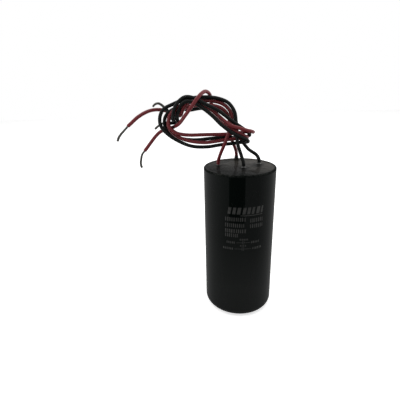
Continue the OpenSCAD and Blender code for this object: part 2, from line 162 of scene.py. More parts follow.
class Wire:
    """Small helper that lays out nodes in one node tree."""

    def __init__(self, tree: bpy.types.NodeTree) -> None:
        """Keeps the tree that the nodes go into, and its shader where it has one.

        Args:
            tree: a material's, a world's or a group's node tree.
        """
        self.tree = tree
        self.shader = tree.nodes.get("Principled BSDF")

    def add(self, kind: str, **values: object) -> Node:
        """Adds a node and sets its properties and plain input values.

        Args:
            kind: the node's Blender type name.
            **values: properties by their name, or inputs by name with "_" for a space.

        Returns:
            The new node.
        """
        node = self.tree.nodes.new(kind)
        for name, value in values.items():
            if hasattr(node, name):
                setattr(node, name, value)
            else:
                node.inputs[name.replace("_", " ")].default_value = value
        return node

    def join(self, value: Value, into: Socket) -> None:
        """Links a socket to another, or sets a plain value on it.

        Args:
            value: a socket, a number or a colour.
            into: the input that takes it.
        """
        if isinstance(value, Socket):
            self.tree.links.new(value, into)
        else:
            into.default_value = value

    def shade(self, name: str, value: Socket) -> None:
        """Feeds an input of the material's shader."""
        self.join(value, self.shader.inputs[name])

    def math(self, op: str, *values: Value, clamp: bool = False) -> Socket:
        """Adds math nodes that take the first value and each further one in turn.

        Args:
            op: the operation's name.
            *values: sockets or plain numbers.
            clamp: whether results are kept between 0 and 1.

        Returns:
            The result's socket.
        """
        result, *others = values
        for other in others or (None,):
            node = self.add("ShaderNodeMath", operation=op, use_clamp=clamp)
            self.join(result, node.inputs[0])
            if other is not None:
                self.join(other, node.inputs[1])
            result = node.outputs[0]
        return result

    def times(self, *values: Value, clamp: bool = False) -> Socket:
        """Multiplies values."""
        return self.math("MULTIPLY", *values, clamp=clamp)

    def plus(self, *values: Value, clamp: bool = False) -> Socket:
        """Adds values up."""
        return self.math("ADD", *values, clamp=clamp)

    def most(self, *values: Value, clamp: bool = False) -> Socket:
        """Takes the highest of the values."""
        return self.math("MAXIMUM", *values, clamp=clamp)

    def ramp(self, value: Socket, span: Span, out: Span = (0.0, 1.0)) -> Socket:
        """Maps a value from one range to another, held at the ends.

        Args:
            value: the socket that is mapped.
            span: where the input range starts and ends.
            out: results at and before its start, and at and after its end.

        Returns:
            The result's socket.
        """
        node = self.add("ShaderNodeMapRange", clamp=True)
        self.join(value, node.inputs["Value"])
        for name, number in zip(("From Min", "From Max", "To Min", "To Max"), (*span, *out)):
            node.inputs[name].default_value = number
        return node.outputs["Result"]

    def fade(self, value: Socket, span: Span, least: float = 0.0) -> Socket:
        """Maps a value to 1 before a range and to a low value after it."""
        return self.ramp(value, span, (1.0, least))

    def mix(self, share: Socket, a: Value, b: Value) -> Socket:
        """Mixes two colours, each a socket or a plain colour.

        Args:
            share: how much of b there is.
            a: the colour at 0.
            b: the colour at 1.

        Returns:
            The mixed colour's socket.
        """
        node = self.add("ShaderNodeMix", data_type="RGBA")
        for value, socket in ((share, "Factor"), (a, 6), (b, 7)):
            self.join(value, node.inputs[socket])
        return node.outputs[2]

    def place(self) -> Socket:
        """Adds the object's own coordinates, in metres."""
        return self.add("ShaderNodeTexCoord").outputs["Object"]

    def axes(self, place: Socket) -> Tuple[Socket, Socket, Socket]:
        """Splits coordinates.

        Args:
            place: the coordinates.

        Returns:
            Sockets of X, Y and Z.
        """
        node = self.add("ShaderNodeSeparateXYZ")
        self.join(place, node.inputs[0])
        return tuple(node.outputs)

    def vector(self, op: str, place: Socket, by: Value) -> Node:
        """Adds a vector math node.

        Args:
            op: the operation's name.
            place: the first vector.
            by: the second one.

        Returns:
            The node.
        """
        node = self.add("ShaderNodeVectorMath", operation=op)
        self.join(place, node.inputs[0])
        self.join(by, node.inputs[1])
        return node

    def off_axis(self, place: Socket) -> Socket:
        """Measures how far coordinates are from the upright axis, in metres."""
        level = self.vector("MULTIPLY", place, (1.0, 1.0, 0.0)).outputs[0]
        return self.vector("DISTANCE", level, (0.0, 0.0, 0.0)).outputs["Value"]

    def noise(self, place: Socket, cells: Value, detail: float = 3.0, rough: float = 0.5) -> Socket:
        """Adds a noise texture.

        Args:
            place: coordinates.
            cells: how many cells there are to a metre.
            detail: octaves.
            rough: share that each octave keeps.

        Returns:
            The noise value's socket.
        """
        node = self.add("ShaderNodeTexNoise", Detail=detail, Roughness=rough)
        self.join(place, node.inputs["Vector"])
        self.join(cells, node.inputs["Scale"])
        return node.outputs[0]

    def seen(self) -> Socket:
        """Marks rays from the camera, off gloss and through glass with 1, and the rest with 0.

        Returns:
            The mark's socket.
        """
        light = self.add("ShaderNodeLightPath").outputs
        kinds = ("Is Camera Ray", "Is Glossy Ray", "Is Transmission Ray")
        return self.most(*(light[kind] for kind in kinds))

    def pick(self, share: Socket, a: Socket, b: Socket) -> Socket:
        """Mixes two shaders.

        Args:
            share: how much of b there is.
            a: the shader at 0.
            b: the shader at 1.

        Returns:
            The mixed shader's socket.
        """
        node = self.add("ShaderNodeMixShader")
        for value, socket in zip((share, a, b), node.inputs):
            self.join(value, socket)
        return node.outputs[0]

    def bump(self, height: Socket, depth: float) -> None:
        """Feeds a height into the shader's normal.

        Args:
            height: the height's socket.
            depth: metres that a height of one stands for.
        """
        node = self.add("ShaderNodeBump", Strength=1.0, Distance=depth)
        self.join(height, node.inputs["Height"])
        self.shade("Normal", node.outputs["Normal"])


class Effects:
    """Shader node groups that several finishes share, each built once."""

    # Shares of the broad flow and the small peel in moulded plastic, and the octaves of both.
    FLOW_SHARE, PEEL_SHARE, GRAIN_OCTAVES = 0.7, 0.3, 2.0
    # How far from its cell's middle a speck of dust fades out, in cells.
    SPECK_EDGE: Span = (0.05, 0.13)
    # The noise that gathers dust in patches, and where in it specks and film lie.
    DUST_PATCH: Grain = (70.0, 2.0)
    SPECK_RANGE: Span = (0.48, 0.62)
    FILM_RANGE: Span = (0.35, 0.7)
    # How scuffs are drawn out along the axes, the octaves and share of their noise, the noise
    # that breaks them up, and where each of the two shows.
    SCUFF_DRAWN: Point = (0.22, 0.22, 5.0)
    SCUFF_NOISE: Span = (3.0, 0.6)
    SCUFF_RANGE: Span = (0.62, 0.78)
    SCUFF_PATCH: Grain = (30.0, 1.0)
    SCUFF_PATCH_RANGE: Span = (0.50, 0.68)

    @staticmethod
    def _start(name: str, inputs: Dict[str, float],
               outputs: Sequence[str]) -> Tuple[Wire, Sequence[Socket], Sequence[Socket]]:
        """Starts a group with a Place vector and named value sockets.

        Args:
            name: the group's name.
            inputs: default values of its further inputs, by name.
            outputs: names of its outputs.

        Returns:
            Its node helper, and the sockets inside it that bring its inputs and take its outputs.
        """
        tree = bpy.data.node_groups.new(name, "ShaderNodeTree")
        tree.interface.new_socket("Place", in_out="INPUT", socket_type="NodeSocketVector")
        for label, value in inputs.items():
            socket = tree.interface.new_socket(label, in_out="INPUT", socket_type="NodeSocketFloat")
            socket.default_value = value
        for label in outputs:
            tree.interface.new_socket(label, in_out="OUTPUT", socket_type="NodeSocketFloat")
        wire = Wire(tree)
        return wire, wire.add("NodeGroupInput").outputs, wire.add("NodeGroupOutput").inputs

    @classmethod
    @lru_cache(maxsize=None)
    def moulded_grain(cls) -> bpy.types.NodeTree:
        """Builds the fine unevenness of moulded or extruded plastic: broad flow and small peel.

        Returns:
            A group with inputs Place, Flow and Peel, in cells to a metre, and output Height.
        """
        wire, source, sink = cls._start("moulded_grain", {"Flow": 60.0, "Peel": 900.0}, ("Height",))
        parts = [wire.times(wire.noise(source["Place"], source[label], cls.GRAIN_OCTAVES), share)
                 for label, share in (("Flow", cls.FLOW_SHARE), ("Peel", cls.PEEL_SHARE))]
        wire.join(wire.plus(*parts), sink["Height"])
        return wire.tree

    @classmethod
    @lru_cache(maxsize=None)
    def dust_specks(cls) -> bpy.types.NodeTree:
        """Builds small pale specks, from cell distances, and a thin uneven film of dust.

        Returns:
            A group with inputs Place, Specks, in cells to a metre, and Amount, and outputs Mask
            and Film.
        """
        wire, source, sink = cls._start("dust_specks", {"Specks": 900.0, "Amount": 0.5},
                                        ("Mask", "Film"))
        cell = wire.add("ShaderNodeTexVoronoi", feature="F1", Randomness=1.0)
        wire.join(source["Place"], cell.inputs["Vector"])
        wire.join(source["Specks"], cell.inputs["Scale"])
        dot = wire.fade(cell.outputs["Distance"], cls.SPECK_EDGE)
        patch = wire.noise(source["Place"], *cls.DUST_PATCH)
        some = wire.ramp(patch, cls.SPECK_RANGE)
        wire.join(wire.times(dot, some, source["Amount"]), sink["Mask"])
        wire.join(wire.times(wire.ramp(patch, cls.FILM_RANGE), source["Amount"]), sink["Film"])
        return wire.tree

    @classmethod
    @lru_cache(maxsize=None)
    def rub_marks(cls) -> bpy.types.NodeTree:
        """Builds short fine scuffs that run round the object, broken up by a broad noise.

        Returns:
            A group with inputs Place, Scale and Amount, and output Mask.
        """
        wire, source, sink = cls._start("rub_marks", {"Scale": 200.0, "Amount": 0.3}, ("Mask",))
        drawn = wire.vector("MULTIPLY", source["Place"], cls.SCUFF_DRAWN).outputs[0]
        thin = wire.ramp(wire.noise(drawn, source["Scale"], *cls.SCUFF_NOISE), cls.SCUFF_RANGE)
        broad = wire.ramp(wire.noise(source["Place"], *cls.SCUFF_PATCH), cls.SCUFF_PATCH_RANGE)
        wire.join(wire.times(thin, broad, source["Amount"]), sink["Mask"])
        return wire.tree

    @staticmethod
    def put(wire: Wire, tree: bpy.types.NodeTree, place: Socket,
            **values: float) -> Sequence[Socket]:
        """Places a group in a material with values of its own.

        Args:
            wire: the material's helper.
            tree: the group.
            place: coordinates that it reads.
            **values: its inputs.

        Returns:
            The group's outputs.
        """
        node = wire.add("ShaderNodeGroup", node_tree=tree)
        wire.join(place, node.inputs["Place"])
        for name, value in values.items():
            node.inputs[name].default_value = value
        return node.outputs


@dataclass(frozen=True)
class Finish:
    """Base of every finish: a name, the plain values of its shader and the nodes that vary it.

    Depths, heights and distances are in metres, and the cells of a noise are to a metre.
    """

    name: str
    colour: Colour
    roughness: float = 0.5
    specular: float = 0.5
    metallic: float = 0.0
    coat: float = 0.0
    coat_roughness: float = 0.05

    def material(self) -> Material:
        """Makes the finish's material.

        Returns:
            The material.
        """
        material = bpy.data.materials.new(self.name)
        material.use_nodes = True
        wire = Wire(material.node_tree)
        for socket, value in (("Base Color", self.colour), ("Roughness", self.roughness),
                              ("Specular IOR Level", self.specular), ("Metallic", self.metallic),
                              ("Coat Weight", self.coat), ("Coat Roughness", self.coat_roughness)):
            wire.shader.inputs[socket].default_value = value
        self.vary(wire, wire.place())
        return material

    def vary(self, wire: Wire, place: Socket) -> None:
        """Lays out the nodes that vary the finish over its surface.

        Args:
            wire: the material's node helper.
            place: coordinates on the object.
        """
        raise NotImplementedError

    def roughen(self, wire: Wire, extra: Socket) -> None:
        """Adds a varying amount to the plain roughness."""
        wire.shade("Roughness", wire.plus(extra, self.roughness, clamp=True))


@dataclass(frozen=True)
class MouldedCanFinish(Finish):
    """Black moulded plastic, glossy with a little peel, dusty and rubbed at its edges."""

    dust: Colour = (0.16, 0.16, 0.15, 1.0)
    flow_cells: float = 55.0
    peel_cells: float = 1400.0
    peel_depth: float = 0.00003
    speck_cells: float = 700.0
    speck_amount: float = 0.35
    scuff_cells: float = 260.0
    scuff_amount: float = 0.16
    rim_edge: Span = (RIM - 0.0016, RIM - 0.0003)
    foot_edge: Span = (0.0, 0.003)
    wear_grain: Grain = (600.0, 4.0)
    wear_range: Span = (0.4, 0.7)
    mark_share: float = 0.5
    wear_share: float = 0.12
    film_dulls: float = 0.10
    marks_dull: float = 0.3
    # The front of the rim's rounded edge is less glossy than the rest: painted shade for a dark
    # line in its reflection.
    rim_band: Span = (RIM - 0.0016, RIM - 0.0009)
    rim_gloss: float = 0.2
    rim_inside: Span = (0.0238, 0.0244)
    rim_behind: Span = (-0.008, 0.006)

    def vary(self, wire: Wire, place: Socket) -> None:
        """Lays out peel, dust, scuffs and worn edges.

        Args:
            wire: the material's node helper.
            place: coordinates on the object.
        """
        grain = Effects.put(wire, Effects.moulded_grain(), place, Flow=self.flow_cells,
                            Peel=self.peel_cells)
        specks = Effects.put(wire, Effects.dust_specks(), place, Specks=self.speck_cells,
                             Amount=self.speck_amount)
        scuffs = Effects.put(wire, Effects.rub_marks(), place, Scale=self.scuff_cells,
                             Amount=self.scuff_amount)
        _, y, z = wire.axes(place)
        edge = wire.most(wire.ramp(z, self.rim_edge), wire.fade(z, self.foot_edge))
        worn = wire.times(edge, wire.ramp(wire.noise(place, *self.wear_grain), self.wear_range),
                          clamp=True)
        marks = wire.most(specks["Mask"], scuffs["Mask"])
        pale = wire.most(wire.times(marks, self.mark_share), wire.times(worn, self.wear_share),
                         clamp=True)
        wire.shade("Base Color", wire.mix(pale, self.colour, self.dust))
        self.roughen(wire, wire.plus(wire.times(specks["Film"], self.film_dulls),
                                     wire.times(pale, self.marks_dull)))
        # Painted shade: less gloss on the front of the rim's rounded edge, full gloss behind and
        # inside.
        gloss = wire.most(wire.fade(z, self.rim_band, self.rim_gloss),
                          wire.fade(wire.off_axis(place), self.rim_inside),
                          wire.ramp(y, self.rim_behind))
        wire.shade("Coat Weight", wire.times(gloss, self.coat))
        wire.bump(grain["Height"], self.peel_depth)


@dataclass(frozen=True)
class PottingResinFinish(Finish):
    """Dark cast resin of random cloudy tone, with a painted reflection paler and glossier to the
    back and right, painted shade round the leads, and gloss where it climbs.
    """

    painted_sheen: Colour = (0.036, 0.032, 0.027, 1.0)
    dust: Colour = (0.16, 0.15, 0.135, 1.0)
    # Painted shadow and painted reflection of the leads: the resin is darker round the leads' exits
    # and at a few spots beside them.
    exits: Tuple[Point, ...] = ()
    shade_spots: Tuple[Point, ...] = (
        (-0.0065, 0.0185, RESIN_LEVEL), (-0.0115, 0.0140, RESIN_LEVEL),
        (0.0125, 0.0005, RESIN_LEVEL), (0.0015, -0.0075, RESIN_LEVEL))
    shade_edge: Span = (0.0035, 0.0075)
    shade_least: float = 0.15
    shade_spot_grain: Grain = (380.0, 3.0)
    shade_wander: float = 0.004
    # The painted reflection grows paler to the back and the right: y and this share of x.
    slant: float = 0.7
    slant_range: Span = (-0.018, 0.018)
    cloud_grain: Grain = (110.0, 5.0, 0.6)
    cloud_range: Span = (0.3, 0.7)
    cloud_least: float = 0.5
    cloud_share: float = 0.5
    speck_cells: float = 1300.0
    speck_amount: float = 0.8
    cloud_dulls: float = 0.15
    film_dulls: float = 0.1
    # Resin that climbs above its level is glossy in front and less so high on a collar: painted
    # highlights on the front collars and painted shade on the rear one.
    climb_start: Span = (RESIN_LEVEL + 0.00055, RESIN_LEVEL + 0.0008)
    climb_end: Span = (RESIN_LEVEL + 0.0010, RESIN_LEVEL + 0.0018)
    climb_least: float = 0.2
    climb_front: Span = (0.010, 0.015)
    sheen_gloss: float = 0.12
    plain_gloss: float = 0.5
    ripple_grain: Grain = (240.0, 3.0)
    fine_cells: float = 1500.0
    fine_share: float = 0.12
    ripple_depth: float = 0.0002

    def vary(self, wire: Wire, place: Socket) -> None:
        """Lays out the painted reflection, the painted shade round the leads, dust and gloss.

        Args:
            wire: the material's node helper.
            place: coordinates on the object.
        """
        x, y, z = wire.axes(place)
        # Painted reflection: paler towards the back and the right, broken by a random cloudy tone.
        side = wire.ramp(wire.plus(wire.times(x, self.slant), y), self.slant_range)
        cloud = wire.ramp(wire.noise(place, *self.cloud_grain), self.cloud_range)
        pale = wire.times(side, wire.plus(wire.times(cloud, self.cloud_share), self.cloud_least))
        # Painted shadow and reflection of the leads: darker round each exit and spot, with a
        # wavering edge.
        wander = wire.times(wire.noise(place, *self.shade_spot_grain), self.shade_wander)
        for spot in self.exits + self.shade_spots:
            away = wire.plus(wire.vector("DISTANCE", place, spot).outputs["Value"], wander)
            pale = wire.times(pale, wire.ramp(away, self.shade_edge, (self.shade_least, 1.0)))
        specks = Effects.put(wire, Effects.dust_specks(), place, Specks=self.speck_cells,
                             Amount=self.speck_amount)
        # The painted reflection, darkened by the painted shade round the leads, tints the base
        # colour.
        tint = wire.mix(pale, self.colour, self.painted_sheen)
        wire.shade("Base Color", wire.mix(specks["Mask"], tint, self.dust))
        self.roughen(wire, wire.plus(wire.times(cloud, self.cloud_dulls),
                                     wire.times(specks["Film"], self.film_dulls)))
        # Painted highlight and shade: the climbing resin is glossy only in front and low on a
        # collar.
        climb = wire.times(wire.ramp(z, self.climb_start), wire.fade(y, self.climb_front),
                           wire.fade(z, self.climb_end, self.climb_least))
        # The gloss rises with the painted reflection.
        gloss = wire.plus(wire.times(pale, self.sheen_gloss), self.coat * self.plain_gloss)
        wire.shade("Coat Weight", wire.most(gloss, climb, clamp=True))
        fine = wire.times(wire.noise(place, self.fine_cells), self.fine_share)
        wire.bump(wire.plus(wire.noise(place, *self.ripple_grain), fine), self.ripple_depth)


@dataclass(frozen=True)
class InsulationFinish(Finish):
    """Extruded PVC on the leads, satin, with faint dust and rubbed places."""

    rubbed: Colour = (0.3, 0.2, 0.2, 1.0)
    flow_cells: float = 240.0
    peel_cells: float = 2600.0
    peel_depth: float = 0.00008
    speck_cells: float = 1500.0
    speck_amount: float = 0.5
    speck_share: float = 0.5
    film_dulls: float = 0.18
    shade_grain: Grain = (130.0, 3.0)
    shade_range: Span = (0.3, 0.75)
    shade_shares: Span = (0.0, 0.35)
    deep_share: float = 0.62

    def vary(self, wire: Wire, place: Socket) -> None:
        """Lays out deeper and rubbed places, dust and grain.

        Args:
            wire: the material's node helper.
            place: coordinates on the object.
        """
        grain = Effects.put(wire, Effects.moulded_grain(), place, Flow=self.flow_cells,
                            Peel=self.peel_cells)
        specks = Effects.put(wire, Effects.dust_specks(), place, Specks=self.speck_cells,
                             Amount=self.speck_amount)
        shade = wire.ramp(wire.noise(place, *self.shade_grain), self.shade_range, self.shade_shares)
        deep = tuple(c * self.deep_share for c in self.colour[:3]) + (1.0,)
        mask = wire.times(specks["Mask"], self.speck_share)
        wire.shade("Base Color", wire.mix(mask, wire.mix(shade, self.colour, deep), self.rubbed))
        self.roughen(wire, wire.times(specks["Film"], self.film_dulls))
        wire.bump(grain["Height"], self.peel_depth)


@dataclass(frozen=True)
class MetalFinish(Finish):
    """Dull soft metal: solder, tinned strands or sprayed zinc."""

    dark: Colour = (0.08, 0.08, 0.075, 1.0)
    cells: float = 900.0
    # Octaves and share of the patches, the part of their noise that shows, and the finer grain.
    patch_noise: Span = (4.0, 0.6)
    patch_range: Span = (0.35, 0.7)
    patch_dulls: float = 0.2
    grain_finer: float = 2.0
    grain_octaves: float = 2.0
    depth: float = 0.00005

    def vary(self, wire: Wire, place: Socket) -> None:
        """Lays out dark and dull patches and a fine grain.

        Args:
            wire: the material's node helper.
            place: coordinates on the object.
        """
        patch = wire.ramp(wire.noise(place, self.cells, *self.patch_noise), self.patch_range)
        wire.shade("Base Color", wire.mix(patch, self.colour, self.dark))
        self.roughen(wire, wire.times(patch, self.patch_dulls))
        fine = wire.noise(place, self.cells * self.grain_finer, self.grain_octaves)
        wire.bump(fine, self.depth)


@dataclass(frozen=True)
class PrintFinish(Finish):
    """Grey pad-printed ink, thin and a little worn, so that the plastic shows in places."""

    under: Colour = CAN_BLACK
    cover: Span = (0.4, 0.8)
    wear_grain: Grain = (900.0, 4.0, 0.65)
    wear_range: Span = (0.32, 0.66)
    ink_grain: Grain = (2600.0, 2.0)
    depth: float = 0.00002

    def vary(self, wire: Wire, place: Socket) -> None:
        """Lays out the thin places and a fine grain.

        Args:
            wire: the material's node helper.
            place: coordinates on the object.
        """
        thin = wire.ramp(wire.noise(place, *self.wear_grain), self.wear_range, self.cover)
        wire.shade("Base Color", wire.mix(thin, self.under, self.colour))
        wire.bump(wire.noise(place, *self.ink_grain), self.depth)


@dataclass(frozen=True)
class RolledFilmFinish(Finish):
    """Edge and outside of a roll of clear metallised film, with the lines of its turns."""

    line: Colour = (0.4, 0.38, 0.31, 1.0)
    turn_cells: float = 160.0
    waver: float = 0.8
    line_share: float = 0.4
    dull_grain: Grain = (200.0,)
    dull_range: Span = (0.3, 0.7)
    line_dulls: float = 0.15
    depth: float = 0.00002

    def vary(self, wire: Wire, place: Socket) -> None:
        """Lays out the lines of the turns and duller places.

        Args:
            wire: the material's node helper.
            place: coordinates on the object.
        """
        bands = wire.add("ShaderNodeTexWave", wave_type="BANDS", bands_direction="Z",
                         Scale=self.turn_cells, Distortion=self.waver)
        wire.join(place, bands.inputs["Vector"])
        lines = wire.times(bands.outputs[1], self.line_share)
        wire.shade("Base Color", wire.mix(lines, self.colour, self.line))
        dull = wire.ramp(wire.noise(place, *self.dull_grain), self.dull_range)
        self.roughen(wire, wire.times(dull, self.line_dulls))
        wire.bump(bands.outputs[1], self.depth)


@dataclass(frozen=True)
class FibreFinish(Finish):
    """Pressed board or plain natural plastic with a fine random grain."""

    fleck: Colour = (0.3, 0.22, 0.1, 1.0)
    cells: float = 1200.0
    fleck_noise: Span = (5.0, 0.7)
    fleck_range: Span = (0.45, 0.65)
    fleck_share: float = 0.5
    depth: float = 0.00003

    def vary(self, wire: Wire, place: Socket) -> None:
        """Lays out the flecks.

        Args:
            wire: the material's node helper.
            place: coordinates on the object.
        """
        fleck = wire.ramp(wire.noise(place, self.cells, *self.fleck_noise), self.fleck_range)
        tint = wire.mix(wire.times(fleck, self.fleck_share), self.colour, self.fleck)
        wire.shade("Base Color", tint)
        wire.bump(fleck, self.depth)


@dataclass(frozen=True)
class ClothFinish(Finish):
    """Black cloth with soft edges: a dense fan in front and a thinner spread round it.

    Angles are in radians from the front towards +X, and distances are from the cloth's middle.
    """

    fan_left: Span = (math.radians(-42.0), math.radians(-38.5))
    fan_right: Span = (math.radians(10.5), math.radians(13.5))
    fan_away: Span = (0.125, 0.180)
    spread_middle: float = 0.05
    spread_turn: Span = (0.9, 2.0)
    spread_away: Span = (0.04, 0.13)
    spread_share: float = 0.5

    def vary(self, wire: Wire, place: Socket) -> None:
        """Lays out how dense the cloth is.

        Args:
            wire: the material's node helper.
            place: coordinates on the cloth.
        """
        x, y, _ = wire.axes(place)
        turn = wire.math("ARCTAN2", x, wire.times(y, -1.0))
        away = wire.off_axis(place)
        fan = wire.times(wire.ramp(turn, self.fan_left), wire.fade(turn, self.fan_right),
                         wire.ramp(away, self.fan_away))
        aside = wire.math("ABSOLUTE", wire.math("SUBTRACT", turn, self.spread_middle))
        spread = wire.times(wire.fade(aside, self.spread_turn), wire.ramp(away, self.spread_away),
                            self.spread_share)
        wire.shade("Alpha", wire.most(fan, spread, clamp=True))


@dataclass(frozen=True)
class FloorFinish(Finish):
    """Pale matt floor that glows white where it is seen or reflected, and keeps a shadow."""

    pale: Colour = (0.82, 0.82, 0.82, 1.0)
    tone_grain: Grain = (40.0, 2.0)
    tone_range: Span = (0.3, 0.7)
    glow: float = 0.6

    def vary(self, wire: Wire, place: Socket) -> None:
        """Lays out the floor's tone and its glow.

        Args:
            wire: the material's node helper.
            place: coordinates on the floor.
        """
        tone = wire.ramp(wire.noise(place, *self.tone_grain), self.tone_range)
        wire.shade("Base Color", wire.mix(tone, self.colour, self.pale))
        plain = wire.shader.outputs[0]
        both = wire.add("ShaderNodeAddShader")
        wire.join(plain, both.inputs[0])
        wire.join(wire.add("ShaderNodeEmission", Strength=self.glow).outputs[0], both.inputs[1])
        out = next(n for n in wire.tree.nodes if n.type == "OUTPUT_MATERIAL")
        wire.join(wire.pick(wire.seen(), plain, both.outputs[0]), out.inputs["Surface"])


class MeshTools:
    """Makes Blender objects from plain vertex and face lists."""

    @staticmethod
    def angles(sides: int) -> List[float]:
        """Spaces the points of a circle evenly, in radians."""
        return [2 * math.pi * k / sides for k in range(sides)]

    @staticmethod
    def bands(rings: int, sides: int, first: int = 0, inward: bool = False) -> List[Face]:
        """Joins closed rings of points, one after another, with rows of four-sided faces.

        Args:
            rings: how many rings there are.
            sides: points in each ring.
            first: number of the first ring's first point.
            inward: whether the faces look the other way.

        Returns:
            The faces.
        """
        faces: List[Face] = []
        for a in range(first, first + (rings - 1) * sides, sides):
            for k in range(sides):
                n = (k + 1) % sides
                corners = (a + n, a + sides + n, a + sides + k)
                faces.append((a + k, *(reversed(corners) if inward else corners)))
        return faces

    @staticmethod
    def tube(rings: int, sides: int, inward: bool = False) -> List[Face]:
        """Lists the faces of a closed tube: its bands, and then its first and its last end.

        Args:
            rings: how many rings there are.
            sides: points in each ring.
            inward: whether the faces look the other way.

        Returns:
            The faces.
        """
        ends = (tuple(reversed(range(sides))), tuple(range((rings - 1) * sides, rings * sides)))
        faces = MeshTools.bands(rings, sides, 0, inward)
        return faces + [tuple(reversed(end)) if inward else end for end in ends]

    @staticmethod
    def build(name: str, points: Sequence[Sequence[float]], faces: Sequence[Sequence[int]],
              material: Material, smooth: bool = True) -> Piece:
        """Makes one mesh object at the origin.

        Args:
            name: the object's name.
            points: vertices in metres, in the frame.
            faces: vertex numbers of each face.
            material: its only material.
            smooth: whether its faces are shaded smooth.

        Returns:
            The object, linked to the scene.
        """
        mesh = bpy.data.meshes.new(name)
        mesh.from_pydata([tuple(p) for p in points], [], [tuple(f) for f in faces])
        mesh.materials.append(material)
        for polygon in mesh.polygons:
            polygon.use_smooth = smooth
        mesh.update()
        thing = bpy.data.objects.new(name, mesh)
        bpy.context.scene.collection.objects.link(thing)
        return thing


def dress_node(node: str, material: Material) -> None:
    """Gives a carried-over solid its material.

    Args:
        node: the solid's name in the frame.
        material: the material that it takes.
    """
    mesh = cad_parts[node].data
    mesh.materials.clear()
    mesh.materials.append(material)
    LOG.info("%s dressed in %s", node, material.name)


@dataclass(frozen=True)
class SweptLine:
    """Smooth line through a route's points."""

    route: Tuple[Vector, ...]
    steps: int = 8

    def centres(self) -> List[Vector]:
        """Samples the line: it passes through every point, eased by the root of each span's length.

        Returns:
            Points along the line, the route's own among them.
        """
        p = [2 * self.route[0] - self.route[1], *self.route, 2 * self.route[-1] - self.route[-2]]
        out: List[Vector] = []
        for i in range(1, len(p) - 2):
            a, b, c, d = p[i - 1:i + 3]
            ra, rb, rc = ((v - u).length ** 0.5 for u, v in ((a, b), (b, c), (c, d)))
            start = rb * ((b - a) / ra - (c - a) / (ra + rb) + (c - b) / rb)
            end = rb * ((c - b) / rb - (d - b) / (rb + rc) + (d - c) / rc)
            for k in range(self.steps):
                u = k / self.steps
                out.append((2 * u**3 - 3 * u**2 + 1) * b + (u**3 - 2 * u**2 + u) * start
                           + (3 * u**2 - 2 * u**3) * c + (u**3 - u**2) * end)
        out.append(p[-2].copy())
        return out

    @staticmethod
    def frames(line: Sequence[Vector]) -> List[Tuple[Vector, Vector, Vector]]:
        """Gives each point a direction and two sideways vectors, carried along without twist.

        Args:
            line: points along the line.

        Returns:
            Direction and sideways vectors at each point.
        """
        out: List[Tuple[Vector, Vector, Vector]] = []
        side = Vector((1.0, 0.3, 0.1))
        for i, _ in enumerate(line):
            along = (line[min(i + 1, len(line) - 1)] - line[max(i - 1, 0)]).normalized()
            side = (side - side.dot(along) * along).normalized()
            out.append((along, side, along.cross(side)))
        return out

    @staticmethod
    def ring_point(centre: Vector, side: Vector, across: Vector, turn: float, r: float) -> Vector:
        """Finds the point of a ring round the line at an angle."""
        return centre + r * (math.cos(turn) * side + math.sin(turn) * across)

    @staticmethod
    def length(line: Sequence[Vector]) -> float:
        """Adds up the line's length in metres."""
        return sum((b - a).length for a, b in zip(line, line[1:]))


